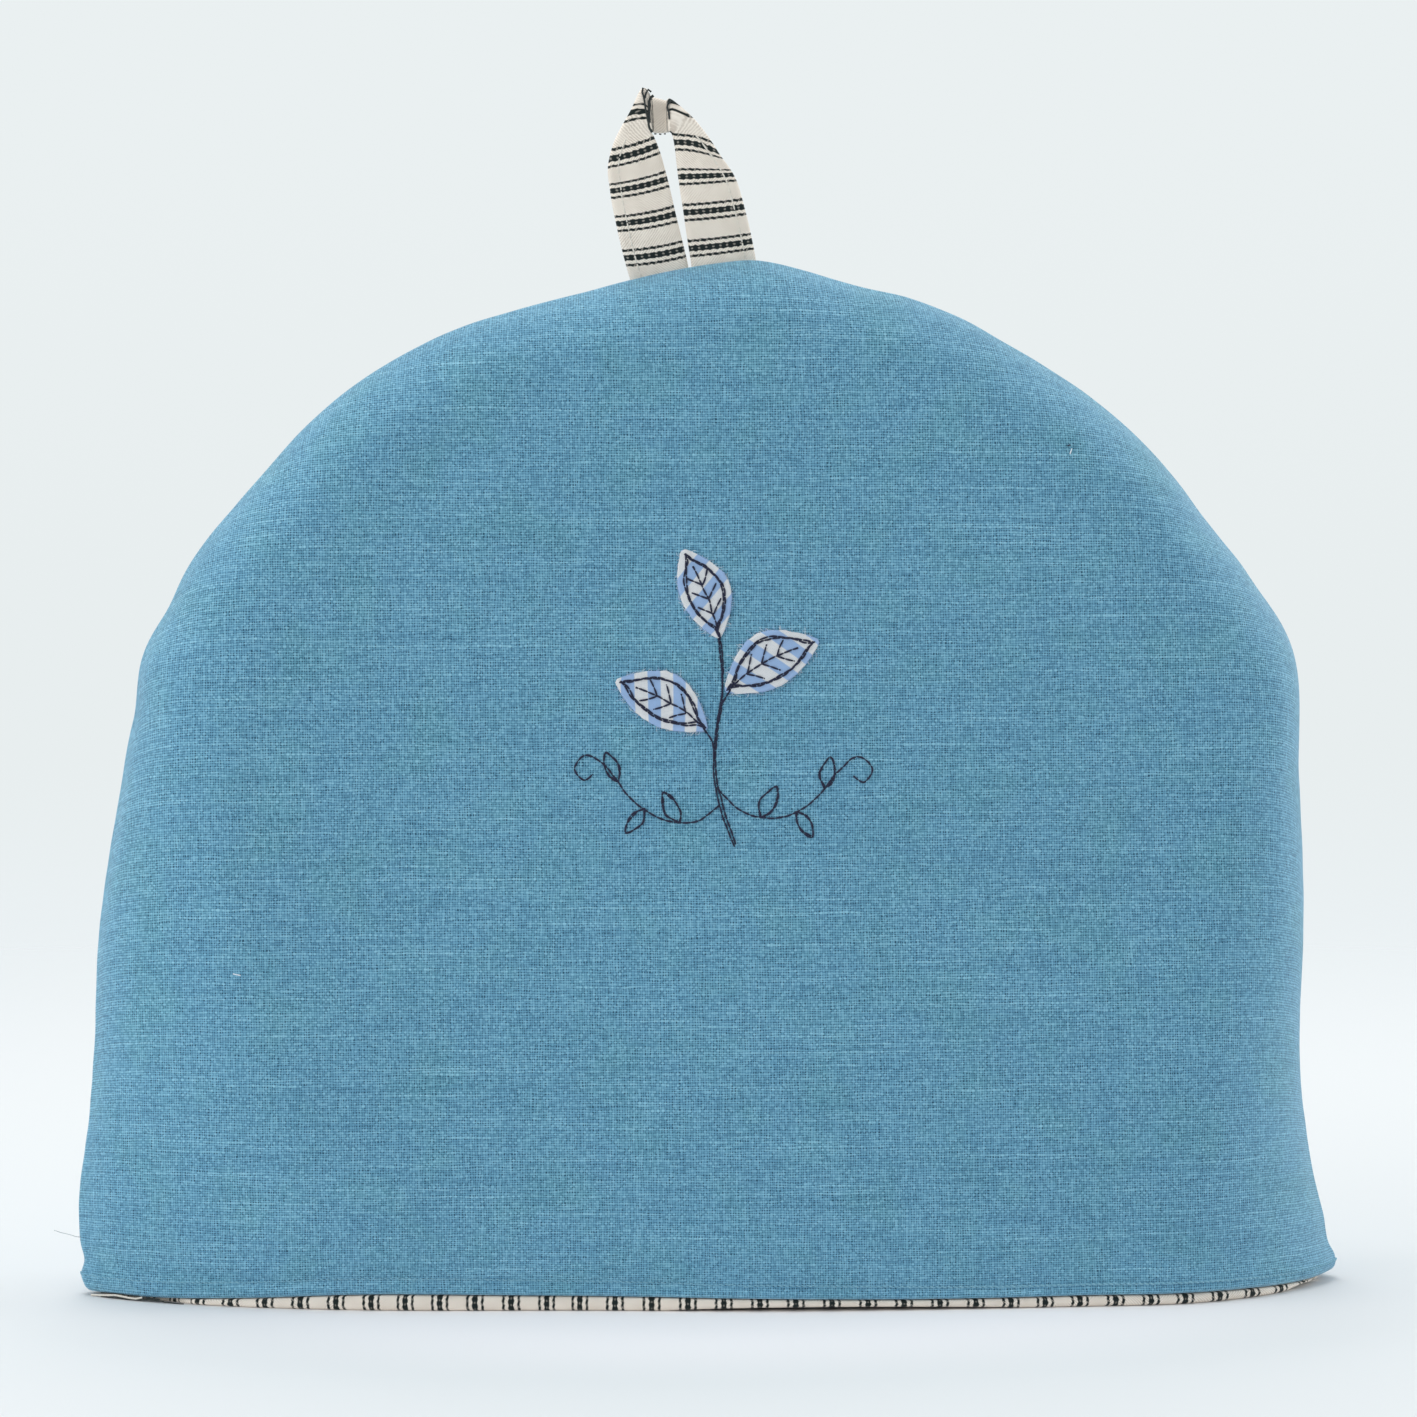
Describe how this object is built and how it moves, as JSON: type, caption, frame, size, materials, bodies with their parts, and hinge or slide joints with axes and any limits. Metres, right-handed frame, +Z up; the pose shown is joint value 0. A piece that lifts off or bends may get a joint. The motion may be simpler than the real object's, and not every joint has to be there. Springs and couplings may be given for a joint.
{
  "type": "tea cosy",
  "caption": "Dome-shaped padded linen tea cosy with a striped ticking lining that shows under the hem, a pleated ticking hanging loop at the crown and an appliqué leaf sprig.",
  "frame": {"origin": "centre of the bounding box's underside: on the surface the hem stands on, in the plane of the side-and-crown seam", "axes": "+X along the cosy's width, towards the right-hand corner as seen from the front; -Y towards the front, which carries the leaf sprig; +Z up, from hem to loop"},
  "size_m": [0.3405, 0.0914, 0.3223],
  "materials": {
    "linen": "plain-woven slubby linen, matt, washed blue",
    "ticking": "cream herringbone ticking with groups of dark green-black stripes, matt",
    "striped_cotton": "plain cotton in white and light blue bands with raw frayed edges, matt"
  },
  "bodies": {
    "root": {"front_panel": "linen", "back_panel": "linen", "lining_front": "ticking", "lining_back": "ticking", "top_loop": "ticking", "leaf_patch_low": "striped_cotton", "leaf_patch_middle": "striped_cotton", "leaf_patch_top": "striped_cotton"}
  },
  "joints": []
}
